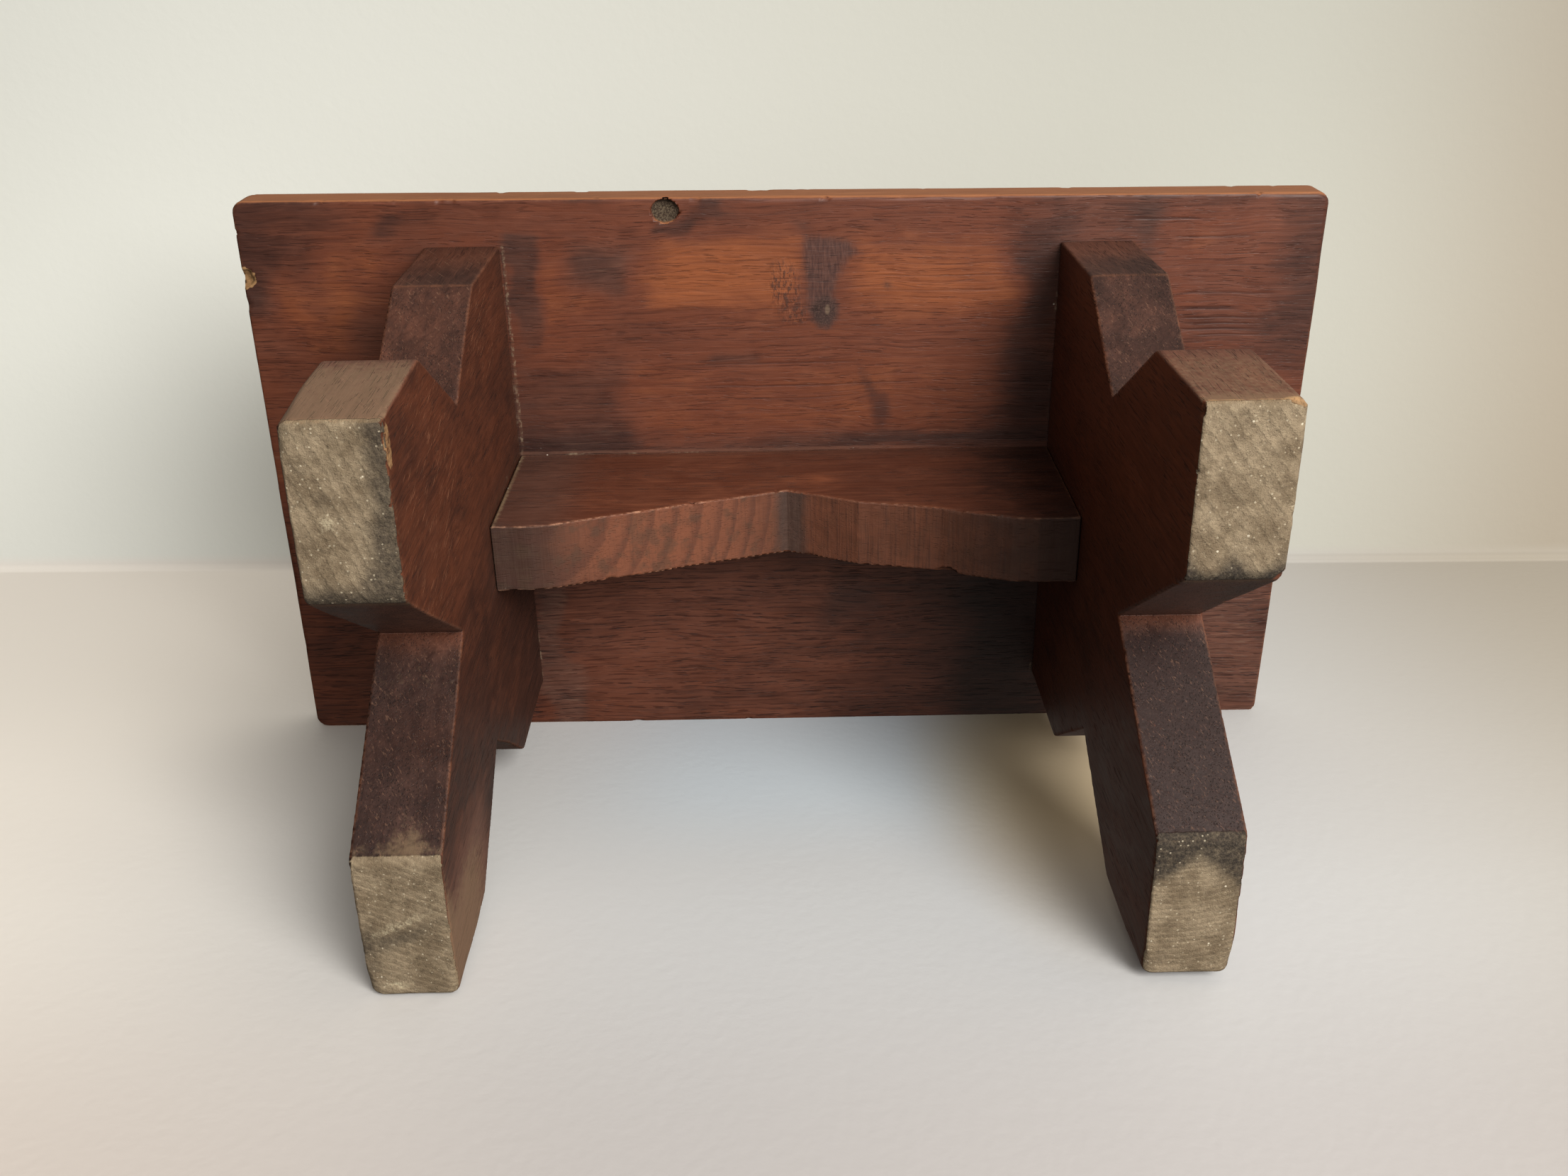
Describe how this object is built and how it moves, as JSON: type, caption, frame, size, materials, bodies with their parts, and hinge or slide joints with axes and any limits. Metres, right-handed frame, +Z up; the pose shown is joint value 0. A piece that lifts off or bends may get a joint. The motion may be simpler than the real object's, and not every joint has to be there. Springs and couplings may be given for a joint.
{
  "type": "book display stand",
  "caption": "Low wooden display stand: a flat rectangular top on two notched end panels joined by a shaped rail, for showing books or as a small step stool.",
  "frame": {"origin": "on the floor under the middle of the top board, with the stand on its four feet", "axes": "+X along the long side of the top, +Z up from the feet to the top, -Y towards the side whose underside carries the round hollow"},
  "size_m": [0.3826, 0.2108, 0.1963],
  "materials": {
    "top_wood": "worn red-brown stain under a thin satin polish",
    "frame_wood": "worn dark red-brown stain, bare grey-tan end grain on the feet",
    "plug_wood": "stained wood plug, satin",
    "dowel_wood": "bare pale hardwood",
    "screw_steel": "dull, slightly tarnished steel"
  },
  "bodies": {
    "root": {"top_board": "top_wood", "end_panel_left": "frame_wood", "end_panel_right": "frame_wood", "stretcher_rail": "frame_wood", "panel_screw_left_front": "screw_steel", "panel_screw_left_rear": "screw_steel", "panel_screw_right_front": "screw_steel", "panel_screw_right_rear": "screw_steel", "rail_screw_left": "screw_steel", "rail_screw_right": "screw_steel", "panel_plug_left_front": "plug_wood", "panel_plug_left_rear": "plug_wood", "panel_plug_right_front": "plug_wood", "panel_plug_right_rear": "plug_wood", "rail_plug_left": "plug_wood", "rail_plug_right": "plug_wood", "rail_dowel_left_lower": "dowel_wood", "rail_dowel_left_upper": "dowel_wood", "rail_dowel_right_lower": "dowel_wood", "rail_dowel_right_upper": "dowel_wood"}
  },
  "joints": []
}
